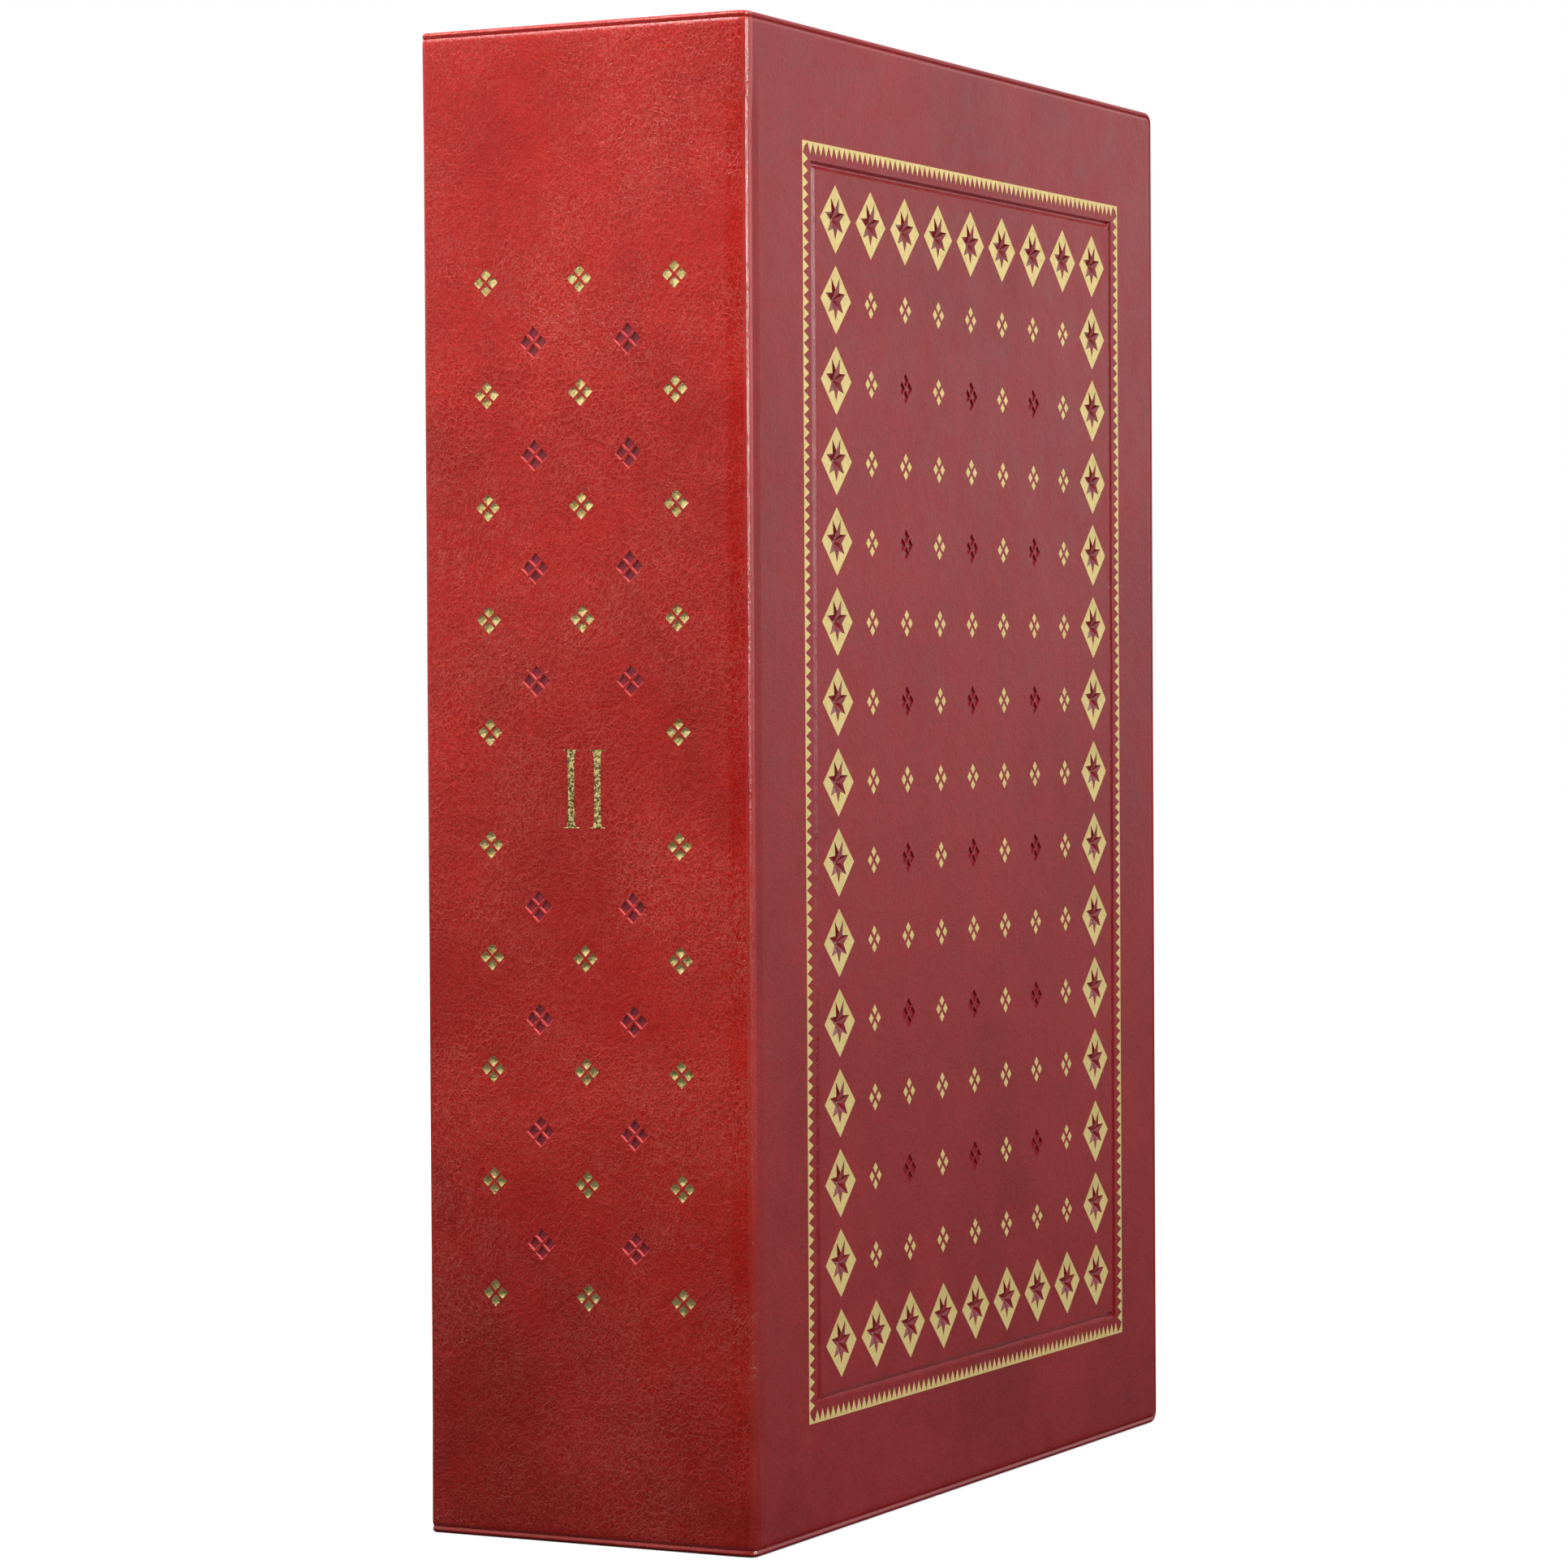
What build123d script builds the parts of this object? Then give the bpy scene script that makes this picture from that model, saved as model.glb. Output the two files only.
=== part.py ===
from build123d import *
import os

# Stamp album, standing on its tail edge, closed. Millimetres.
# X is the thickness (front cover at +X), Y the width (spine at -Y), Z the height.
# The origin is the middle of the bottom of the closed album.

# Whole album
album_height = 330.0
album_width = 222.0
album_thickness = 80.5

# Covers and spine
board_thickness = 3.0
leather_thickness = 1.0
lining_thickness = 0.5
turn_in_width = 15.0
cover_corner_radius = 3.0
edge_rounding = 0.8
joint_radius = 2.6
joint_clearance = 0.3
joint_end_rounding = 1.0

# Base plate of the ring mechanism
plate_thickness = 1.5
plate_width = 38.5
plate_height = 286.0
plate_corner_radius = 4.0
plate_spine_gap = 2.0

# Rings: a fixed post with most of the arch, and a swinging arm with the rest
ring_count = 4
ring_pitch = 80.0
ring_wire_radius = 2.0
ring_arch_radius = 11.0
ring_front_clearance = 2.75
ring_parting_angle = 125.0
ring_tip_gap = 0.3
post_tail_radius = 1.5

# Turn bar, its bearings, collars and spring
bar_radius = 2.5
bar_spine_gap = 11.5
bar_end_inset = 3.0
collar_radius = 4.5
collar_length = 8.0
collar_plate_gap = 0.8
bearing_length = 8.0
end_bearing_length = 4.0
end_bearing_inset = 10.0
spring_wire_radius = 0.4
spring_coil_radius = 3.4
spring_pitch = 1.5
spring_turns = 6
spring_start_above_ring = 7.0
spring_tail_length = 7.0
spring_foot_gap = 0.3
spring_tail_radius = 0.5
spring_tail_lap = 0.3

# End levers, their pins and lugs, and the cranks that they lift
lever_pin_radius = 1.2
lever_pin_inset = 4.5
toe_crank_gap = 0.6
lever_hub_radius = 2.2
lever_width = 8.5
lever_bar_gap = 2.0
lever_tab_length = 16.0
lever_thickness = 1.5
lever_lip_radius = 1.3
lever_toe_length = 5.0
lever_toe_width = 3.0
lever_toe_top = 1.1
lug_thickness = 1.2
lug_gap = 0.2
lug_half_depth = 2.5
pin_overhang = 0.25
crank_collar_radius = 4.0
crank_arm_reach = 10.5
crank_thickness = 3.0
crank_arm_half_height = 1.0

# Screws that hold the base plate
screw_shank_radius = 1.4
screw_head_radius = 2.8
screw_head_height = 1.2
screw_slot_width = 0.7
screw_slot_depth = 0.6
screw_bite = 2.4
screw_inner_offset = 8.5
screw_outer_offset = 3.5
screw_row_offsets = (-100.0, -20.0, 20.0, 100.0)

# Leaves
leaf_height = 300.0
leaf_fore_margin = 7.0
leaf_hole_radius = 3.0
leaf_hole_margin = 7.0
leaf_corner_radius = 3.0
stack_leaf_count = 30
stack_leaf_gap = 0.4
stack_plate_gap = 0.2
turning_leaf_thickness = 0.5
turning_leaf_pitch = 1.1
turning_leaf_count = 5
mount_thickness = 0.25
mount_side_margin = 12.0
mount_hinge_margin = 16.0
mount_end_margin = 18.0
mount_heights = (40.0, 52.0, 34.0, 46.0)
mount_rows = (5, 4, 6, 5)

# Fits
running_clearance = 0.05
press_clearance = 0.02
screw_hole_clearance = 0.15

# Sizes that follow
half_thickness = album_thickness / 2
half_width = album_width / 2
mid_height = album_height / 2
wall = leather_thickness + board_thickness + lining_thickness
joint_x = half_thickness - joint_radius
joint_y = -half_width + joint_radius
plate_edge = joint_radius + joint_clearance
cover_start = joint_y + plate_edge
spine_half = joint_x - plate_edge
cover_inner_x = half_thickness - wall
spine_inner_y = -half_width + wall
plate_bottom = -cover_inner_x
plate_top = plate_bottom + plate_thickness
plate_start = spine_inner_y + plate_spine_gap
bar_x = plate_top + collar_plate_gap + collar_radius
bar_y = spine_inner_y + bar_spine_gap
arch_x = cover_inner_x - ring_front_clearance - ring_wire_radius - ring_arch_radius
arch_y = bar_y + ring_arch_radius
post_y = arch_y + ring_arch_radius
ring_heights = [mid_height + (i - (ring_count - 1) / 2) * ring_pitch for i in range(ring_count)]
pin_x = bar_x - crank_arm_half_height - toe_crank_gap - lever_toe_top
pin_z = mid_height + plate_height / 2 - lever_pin_inset
lever_start = bar_y + bar_radius + lever_bar_gap
lever_end = lever_start + lever_width
leaf_start = post_y - leaf_hole_margin
leaf_end = half_width - leaf_fore_margin
leaf_low = mid_height - leaf_height / 2
leaf_high = mid_height + leaf_height / 2


def block(x0, x1, y0, y1, z0, z1):
    centre = Pos((x0 + x1) / 2, (y0 + y1) / 2, (z0 + z1) / 2)
    return centre * Box(x1 - x0, y1 - y0, z1 - z0)


def rod_x(x0, x1, y, z, radius):
    return Pos((x0 + x1) / 2, y, z) * Rot(0, 90, 0) * Cylinder(radius, x1 - x0)


def rod_y(y0, y1, x, z, radius):
    return Pos(x, (y0 + y1) / 2, z) * Rot(90, 0, 0) * Cylinder(radius, y1 - y0)


def rod_z(z0, z1, x, y, radius):
    return Pos(x, y, (z0 + z1) / 2) * Cylinder(radius, z1 - z0)


# A slab across Y and Z with its two fore-edge corners rounded
def cover_slab(x0, x1, y0, y1, z0, z1, corner):
    slab = block(x0, x1, y0, y1, z0, z1)
    fore_corners = slab.edges().filter_by(Axis.X).group_by(Axis.Y)[-1]
    return fillet(fore_corners, corner)


# ---------- covers, built at +X; the back cover is the mirror image ----------
def cover_board():
    return cover_slab(cover_inner_x + lining_thickness, half_thickness - leather_thickness,
                      cover_start, half_width - leather_thickness,
                      leather_thickness, album_height - leather_thickness,
                      cover_corner_radius - leather_thickness)


def cover_lining():
    return block(cover_inner_x, cover_inner_x + lining_thickness,
                 cover_start, half_width - turn_in_width,
                 turn_in_width, album_height - turn_in_width)


def cover_leather():
    skin = cover_slab(cover_inner_x, half_thickness, cover_start, half_width,
                      0, album_height, cover_corner_radius)
    face = skin.faces().sort_by(Axis.X)[-1]
    outer_edges = [edge for edge in face.edges() if edge.center().Y > cover_start + edge_rounding]
    skin = fillet(outer_edges, edge_rounding)
    return skin - cover_board() - cover_lining()


def spine_board():
    return block(-spine_half, spine_half,
                 -half_width + leather_thickness, spine_inner_y - lining_thickness,
                 leather_thickness, album_height - leather_thickness)


def spine_lining():
    return block(-spine_half, spine_half, spine_inner_y - lining_thickness, spine_inner_y,
                 turn_in_width, album_height - turn_in_width)


def spine_leather():
    skin = block(-spine_half, spine_half, -half_width, spine_inner_y, 0, album_height)
    outer_edges = skin.faces().sort_by(Axis.Y)[0].edges().filter_by(Axis.X)
    skin = fillet(outer_edges, edge_rounding)
    return skin - spine_board() - spine_lining()


# The leather hinge between spine and cover, a soft roll about the line that it folds on
def joint_leather():
    roll = rod_z(0, album_height, joint_x, joint_y, joint_radius)
    return fillet(roll.edges().filter_by(GeomType.CIRCLE), joint_end_rounding)


# ---------- base plate and its screws ----------
def screw_places():
    offsets = (plate_start + screw_outer_offset, bar_y + screw_inner_offset)
    return [(y, mid_height + z) for y in offsets for z in screw_row_offsets]


def base_plate():
    plate = block(plate_bottom, plate_top, plate_start, plate_start + plate_width,
                  mid_height - plate_height / 2, mid_height + plate_height / 2)
    plate = fillet(plate.edges().filter_by(Axis.X), plate_corner_radius)
    for z in ring_heights:
        plate -= rod_x(plate_bottom, plate_top, post_y, z, post_tail_radius + press_clearance)
    for y, z in screw_places():
        plate -= rod_x(plate_bottom, plate_top, y, z, screw_shank_radius + screw_hole_clearance)
    return plate


def plate_screw(y, z):
    tip = plate_bottom - lining_thickness - screw_bite
    head = rod_x(plate_top, plate_top + screw_head_height, y, z, screw_head_radius)
    head = fillet(head.edges().sort_by(Axis.X)[-1], screw_head_height / 2)
    slot = block(plate_top + screw_head_height - screw_slot_depth, plate_top + screw_head_height,
                 y - screw_slot_width / 2, y + screw_slot_width / 2,
                 z - screw_head_radius, z + screw_head_radius)
    return head + rod_x(tip, plate_top, y, z, screw_shank_radius) - slot


# Pilot holes for the screws, cut in the back board and its lining
def with_pilot_holes(shape):
    tip = plate_bottom - lining_thickness - screw_bite
    for y, z in screw_places():
        shape -= rod_x(tip, plate_bottom, y, z, screw_shank_radius + press_clearance)
    return shape


# ---------- rings ----------
def arch_piece(start_y, z, turn, angle):
    section = Plane(origin=(arch_x, start_y, z), z_dir=(1, 0, 0)) * Circle(ring_wire_radius)
    return revolve(section, Axis((arch_x, arch_y, z), (0, 0, turn)), angle)


def ring_post(z):
    tail = rod_x(plate_bottom, plate_top, post_y, z, post_tail_radius)
    leg = rod_x(plate_top, arch_x, post_y, z, ring_wire_radius)
    return tail + leg + arch_piece(post_y, z, -1, ring_parting_angle)


def ring_arm(z):
    gap_angle = ring_tip_gap / ring_arch_radius * 57.3
    collar = rod_z(z - collar_length / 2, z + collar_length / 2, bar_x, bar_y, collar_radius)
    leg = rod_x(bar_x, arch_x, bar_y, z, ring_wire_radius)
    arm = collar + leg + arch_piece(bar_y, z, 1, 180 - ring_parting_angle - gap_angle)
    bore = rod_z(z - collar_length, z + collar_length, bar_x, bar_y, bar_radius + press_clearance)
    return arm - bore


def turn_bar():
    half = pin_z - bar_end_inset - mid_height
    bar = rod_z(mid_height - half, mid_height + half, bar_x, bar_y, bar_radius)
    return chamfer(bar.edges().filter_by(GeomType.CIRCLE), bar_radius / 5)


def bar_bearing(z, length):
    low = z - length / 2
    high = z + length / 2
    body = block(plate_top, bar_x, bar_y - collar_radius, bar_y + collar_radius, low, high)
    body += rod_z(low, high, bar_x, bar_y, collar_radius)
    return body - rod_z(low - 1, high + 1, bar_x, bar_y, bar_radius + running_clearance)


def bar_bearings():
    end_offset = pin_z - end_bearing_inset - mid_height
    bearings = [bar_bearing(mid_height + end_offset, end_bearing_length),
                bar_bearing(mid_height - end_offset, end_bearing_length)]
    for low, high in zip(ring_heights, ring_heights[1:]):
        bearings.append(bar_bearing((low + high) / 2, bearing_length))
    return bearings


# A torsion spring round the bar: one tail bears on the base plate, the other stands up
def bar_spring():
    low = ring_heights[-2] + spring_start_above_ring
    length = spring_pitch * spring_turns
    coil = Helix(spring_pitch, length, spring_coil_radius)
    section = Plane(origin=coil @ 0, z_dir=coil % 0) * Circle(spring_wire_radius)
    wire = Rot(0, 0, 90) * sweep(section, path=coil, is_frenet=True)
    foot_length = bar_x - plate_top - spring_foot_gap
    foot = rod_x(-foot_length, spring_tail_lap, spring_coil_radius, length, spring_tail_radius)
    stem = rod_x(-spring_tail_lap, spring_tail_length, spring_coil_radius, 0, spring_tail_radius)
    return Pos(bar_x, bar_y, low) * (wire + foot + stem)


# ---------- end levers, built at the head; the tail end is the mirror image ----------
def lever_bore():
    return rod_y(lever_start - 1, lever_end + 1, pin_x, pin_z, lever_pin_radius + running_clearance)


def end_lever():
    hub = rod_y(lever_start, lever_end, pin_x, pin_z, lever_hub_radius)
    tab = block(pin_x, pin_x + lever_tab_length, lever_start, lever_end, pin_z, pin_z + lever_thickness)
    lip = rod_y(lever_start, lever_end, pin_x + lever_tab_length, pin_z + lever_lip_radius,
                lever_lip_radius)
    toe_end = bar_y + crank_arm_reach
    toe = block(pin_x + lever_toe_top - lever_thickness, pin_x + lever_toe_top,
                toe_end - lever_toe_width, toe_end, pin_z - lever_toe_length, pin_z)
    return hub + tab + lip + toe - lever_bore()


def lever_lugs():
    lugs = []
    for y in (lever_start - lug_gap - lug_thickness, lever_end + lug_gap):
        lug = block(plate_top, pin_x, y, y + lug_thickness, pin_z - lug_half_depth, pin_z + lug_half_depth)
        lug += rod_y(y, y + lug_thickness, pin_x, pin_z, lug_half_depth)
        hole = rod_y(y - 1, y + lug_thickness + 1, pin_x, pin_z, lever_pin_radius + press_clearance)
        lugs.append(lug - hole)
    return lugs


def lever_pin():
    reach = lug_gap + lug_thickness + pin_overhang
    pin = rod_y(lever_start - reach, lever_end + reach, pin_x, pin_z, lever_pin_radius)
    return chamfer(pin.edges().filter_by(GeomType.CIRCLE), lever_pin_radius / 6)


def bar_crank():
    high = pin_z - (lever_toe_length - lever_thickness)
    low = high - crank_thickness
    crank = rod_z(low, high, bar_x, bar_y, crank_collar_radius)
    crank += block(bar_x - crank_arm_half_height, bar_x + crank_arm_half_height,
                   bar_y, bar_y + crank_arm_reach, low, high)
    return crank - rod_z(low - 1, high + 1, bar_x, bar_y, bar_radius + press_clearance)


def at_tail(shape):
    return mirror(shape, about=Plane.XY.offset(mid_height))


# ---------- leaves ----------
def leaf_sheet(low_x, thickness):
    sheet = cover_slab(low_x, low_x + thickness, leaf_start, leaf_end,
                       leaf_low, leaf_high, leaf_corner_radius)
    for z in ring_heights:
        sheet -= rod_x(low_x - 1, low_x + thickness + 1, post_y, z, leaf_hole_radius)
    return sheet


# Turning leaves sit about the height of the arch centre; number 0 is the top one, next to the cover
def turning_leaf_low(number):
    middle = (turning_leaf_count - 1) / 2
    return arch_x + (middle - number) * turning_leaf_pitch - turning_leaf_thickness / 2


def leaf_stack():
    bottom = plate_top + stack_plate_gap
    top = turning_leaf_low(turning_leaf_count - 1) - stack_leaf_gap
    pitch = (top - bottom + stack_leaf_gap) / stack_leaf_count
    return [leaf_sheet(bottom + i * pitch, pitch - stack_leaf_gap) for i in range(stack_leaf_count)]


# Rows of clear mounts on the front of a stamp leaf
def stamp_mounts(number):
    low_x = turning_leaf_low(number) + turning_leaf_thickness
    rows = mount_rows[number - 1]
    height = min(mount_heights[number - 1], (leaf_height - 2 * mount_end_margin) / rows * 0.8)
    first = leaf_low + mount_end_margin
    step = (leaf_height - 2 * mount_end_margin - height) / (rows - 1)
    strips = []
    for row in range(rows):
        strips.append(block(low_x, low_x + mount_thickness,
                            post_y + mount_hinge_margin, leaf_end - mount_side_margin,
                            first + row * step, first + row * step + height))
    return strips


parts = {
    "front_board": [cover_board()],
    "front_leather": [cover_leather()],
    "front_lining": [cover_lining()],
    "spine_board": [spine_board()],
    "spine_leather": [spine_leather()],
    "spine_lining": [spine_lining()],
    "back_board": [with_pilot_holes(mirror(cover_board(), about=Plane.YZ))],
    "back_leather": [mirror(cover_leather(), about=Plane.YZ)],
    "back_lining": [with_pilot_holes(mirror(cover_lining(), about=Plane.YZ))],
    "front_joint_leather": [joint_leather()],
    "back_joint_leather": [mirror(joint_leather(), about=Plane.YZ)],
    "base_plate": [base_plate()],
    "plate_screws": [plate_screw(y, z) for y, z in screw_places()],
    "ring_posts": [ring_post(z) for z in ring_heights],
    "ring_arms": [ring_arm(z) for z in ring_heights],
    "turn_bar": [turn_bar()],
    "bar_bearings": bar_bearings(),
    "bar_spring": [bar_spring()],
    "bar_cranks": [bar_crank(), at_tail(bar_crank())],
    "head_lever": [end_lever()],
    "tail_lever": [at_tail(end_lever())],
    "lever_lugs": lever_lugs() + [at_tail(lug) for lug in lever_lugs()],
    "lever_pins": [lever_pin(), at_tail(lever_pin())],
    "leaf_stack": leaf_stack(),
    "title_leaf": [leaf_sheet(turning_leaf_low(0), turning_leaf_thickness)],
}
for number in range(1, turning_leaf_count):
    parts[f"stamp_leaf_{number}"] = [leaf_sheet(turning_leaf_low(number), turning_leaf_thickness)]
    parts[f"stamp_mounts_{number}"] = stamp_mounts(number)

os.makedirs("parts", exist_ok=True)
for name, pieces in parts.items():
    solids = [solid for piece in pieces for solid in piece.solids()]
    shape = solids[0] if len(solids) == 1 else Compound(children=solids)
    export_step(shape, f"parts/{name}.step")
    print(name, len(solids))
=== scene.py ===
import math
import random
import bmesh
import bpy
from mathutils import Matrix, Vector, noise
from mathutils.geometry import delaunay_2d_cdt


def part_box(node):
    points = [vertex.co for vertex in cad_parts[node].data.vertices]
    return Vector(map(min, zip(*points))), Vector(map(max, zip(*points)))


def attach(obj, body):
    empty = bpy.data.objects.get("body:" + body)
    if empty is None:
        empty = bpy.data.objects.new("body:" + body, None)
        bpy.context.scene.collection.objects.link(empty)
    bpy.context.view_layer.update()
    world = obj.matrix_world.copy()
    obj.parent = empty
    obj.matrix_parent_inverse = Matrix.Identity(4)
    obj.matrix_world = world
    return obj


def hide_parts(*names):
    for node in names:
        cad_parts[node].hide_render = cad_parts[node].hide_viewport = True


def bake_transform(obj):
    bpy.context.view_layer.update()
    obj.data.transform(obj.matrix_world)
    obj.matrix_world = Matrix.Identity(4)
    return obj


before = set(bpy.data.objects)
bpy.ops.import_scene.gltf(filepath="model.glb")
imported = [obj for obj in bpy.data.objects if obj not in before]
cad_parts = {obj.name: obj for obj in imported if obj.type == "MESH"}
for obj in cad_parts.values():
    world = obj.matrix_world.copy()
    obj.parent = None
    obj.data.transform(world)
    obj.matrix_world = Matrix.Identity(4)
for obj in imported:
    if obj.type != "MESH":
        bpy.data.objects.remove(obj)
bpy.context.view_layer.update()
mm = 0.001
print("frame loaded:", len(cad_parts), "nodes")

# where the boards and joints are, in millimetres, read from the frame
frontLow, frontHigh = (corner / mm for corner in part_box("front_leather"))
spineLow, spineHigh = (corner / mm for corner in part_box("spine_leather"))
jointLow, jointHigh = (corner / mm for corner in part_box("front_joint_leather"))
halfThick = frontHigh.x
halfWide = frontHigh.y
tall = frontHigh.z
wall = frontHigh.x - frontLow.x
coverStart = frontLow.y
spineEdge = spineHigh.x
jointRadius = (jointHigh.x - jointLow.x) / 2
jointX = halfThick - jointRadius
jointY = -halfWide + jointRadius


def meshObject(name, points, faces, materials, faceMaterials=None, sharp=30):
    mesh = bpy.data.meshes.new(name)
    mesh.from_pydata([Vector(p) * mm for p in points], [], faces)
    for material in materials:
        mesh.materials.append(material)
    if faceMaterials:
        mesh.polygons.foreach_set("material_index", faceMaterials)
    cleaner = bmesh.new()
    cleaner.from_mesh(mesh)
    bmesh.ops.recalc_face_normals(cleaner, faces=cleaner.faces)
    cleaner.to_mesh(mesh)
    cleaner.free()
    mesh.polygons.foreach_set("use_smooth", [True] * len(mesh.polygons))
    mesh.set_sharp_from_angle(angle=math.radians(sharp))
    mesh.update()
    piece = bpy.data.objects.new(name, mesh)
    bpy.context.collection.objects.link(piece)
    return piece


# rings of equal length joined into a tube; the ends are closed flat
def loftRings(rings):
    count = len(rings[0])
    points = [p for ring in rings for p in ring]
    faces = []
    for r in range(len(rings) - 1):
        for i in range(count):
            j = (i + 1) % count
            faces.append((r * count + i, r * count + j, (r + 1) * count + j, (r + 1) * count + i))
    faces.append(tuple(range(count))[::-1])
    faces.append(tuple((len(rings) - 1) * count + i for i in range(count)))
    return points, faces


def smooth(t):
    t = max(0.0, min(1.0, t))
    return t * t * (3 - 2 * t)


class Shader:
    # a Principled material with short names for the nodes that this album needs
    def __init__(self, name):
        self.material = bpy.data.materials.new(name)
        self.material.use_nodes = True
        self.tree = self.material.node_tree
        self.body = self.tree.nodes["Principled BSDF"]
        self.place = self.node("ShaderNodeTexCoord").outputs["Object"]

    def node(self, kind, **settings):
        made = self.tree.nodes.new(kind)
        for key, value in settings.items():
            setattr(made, key, value)
        return made

    def link(self, source, target):
        self.tree.links.new(source, target)

    def stretched(self, scale, source=None):
        mapping = self.node("ShaderNodeMapping")
        mapping.inputs["Scale"].default_value = scale
        self.link(source or self.place, mapping.inputs["Vector"])
        return mapping.outputs["Vector"]

    def noise(self, scale, detail=3.0, rough=0.5, distortion=0.0, source=None):
        made = self.node("ShaderNodeTexNoise")
        made.inputs["Scale"].default_value = scale
        made.inputs["Detail"].default_value = detail
        made.inputs["Roughness"].default_value = rough
        made.inputs["Distortion"].default_value = distortion
        self.link(source or self.place, made.inputs["Vector"])
        return made.outputs["Fac"]

    def cells(self, scale, source=None):
        made = self.node("ShaderNodeTexVoronoi", feature="DISTANCE_TO_EDGE")
        made.inputs["Scale"].default_value = scale
        self.link(source or self.place, made.inputs["Vector"])
        return made.outputs["Distance"]

    # bends the texture space by a slow noise, so that streaks wander
    def warped(self, scale, amount, source=None):
        wander = self.node("ShaderNodeTexNoise")
        wander.inputs["Scale"].default_value = scale
        wander.inputs["Detail"].default_value = 2.0
        self.link(source or self.place, wander.inputs["Vector"])
        shift = self.node("ShaderNodeVectorMath", operation="MULTIPLY_ADD")
        shift.inputs[1].default_value = (amount,) * 3
        self.link(wander.outputs["Color"], shift.inputs[0])
        self.link(source or self.place, shift.inputs[2])
        return shift.outputs["Vector"]

    def ramp(self, source, stops):
        made = self.node("ShaderNodeValToRGB")
        band = made.color_ramp
        while len(band.elements) < len(stops):
            band.elements.new(0.5)
        for element, (place, colour) in zip(band.elements, stops):
            element.position = place
            element.color = (*colour, 1.0) if len(colour) == 3 else colour
        self.link(source, made.inputs["Fac"])
        return made.outputs["Color"]

    def grey(self, source, low, high, fromLow=0.0, fromHigh=1.0):
        made = self.node("ShaderNodeMapRange")
        for key, value in (("From Min", fromLow), ("From Max", fromHigh), ("To Min", low), ("To Max", high)):
            made.inputs[key].default_value = value
        self.link(source, made.inputs["Value"])
        return made.outputs["Result"]

    def maths(self, operation, first, second):
        made = self.node("ShaderNodeMath", operation=operation)
        for socket, value in zip(made.inputs, (first, second)):
            if isinstance(value, (int, float)):
                socket.default_value = value
            else:
                self.link(value, socket)
        return made.outputs[0]

    def mixed(self, blend, amount, first, second):
        made = self.node("ShaderNodeMix", data_type="RGBA", blend_type=blend)
        for socket, value in ((made.inputs[0], amount), (made.inputs[6], first), (made.inputs[7], second)):
            if isinstance(value, (int, float)):
                socket.default_value = value
            elif isinstance(value, tuple):
                socket.default_value = (*value, 1.0)
            else:
                self.link(value, socket)
        return made.outputs[2]

    def bump(self, height, strength, distance, onto=None):
        made = self.node("ShaderNodeBump")
        made.inputs["Strength"].default_value = strength
        made.inputs["Distance"].default_value = distance
        self.link(height, made.inputs["Height"])
        if onto:
            self.link(onto, made.inputs["Normal"])
        return made.outputs["Normal"]

    def finish(self, colour=None, rough=None, normal=None, **numbers):
        for socket, value in (("Base Color", colour), ("Roughness", rough), ("Normal", normal)):
            if value is None:
                continue
            if isinstance(value, (int, float)):
                self.body.inputs[socket].default_value = value
            elif isinstance(value, tuple):
                self.body.inputs[socket].default_value = (*value, 1.0)
            else:
                self.link(value, self.body.inputs[socket])
        for key, value in numbers.items():
            self.body.inputs[key.replace("_", " ")].default_value = value
        return self.material


# the spine and the covers are one calf in two tones: the spine's painted lighter and more orange, the covers'
# darker and duller, standing for how each side is lit
litSpineCalf = {
    "deep": (0.385, 0.0085, 0.0056),
    "middle": (0.515, 0.0122, 0.0078),
    "bright": (0.62, 0.0175, 0.0100),
    "rubbed": (0.78, 0.150, 0.110),
    "fibre": 1.2,
    "flow": 0.8,
    "wrinkle": 1.25,
    "grain": 1.0,
    "rough": 0.25,
    "gloss": 0.45,
    # painted shade: the spine's colour falls to this share at the tail
    "foot": 0.58,
}
shadedCoverCalf = {
    "deep": (0.285, 0.0105, 0.0140),
    "middle": (0.345, 0.0140, 0.0180),
    "bright": (0.395, 0.0185, 0.0225),
    "rubbed": (0.45, 0.050, 0.050),
    "fibre": 0.22,
    "flow": 0.2,
    "wrinkle": 0.10,
    "grain": 0.9,
    "rough": 0.44,
    "gloss": 0.5,
    # painted shade: the covers' colour falls to this share at the tail
    "foot": 0.84,
}
# the fold's calf is lighter and pinker than the spine's: partly rubbed wear, partly a painted highlight along
# the fold and the spine's crease walls
foldCalf = dict(
    litSpineCalf, deep=(0.42, 0.020, 0.016), middle=(0.52, 0.035, 0.028), bright=(0.60, 0.060, 0.050),
    gloss=0.6, rough=0.085, wrinkle=0.2, flow=0.2, grain=0.15)
burnishedCalf = dict(shadedCoverCalf, rough=0.18, grain=0.4)
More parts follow.
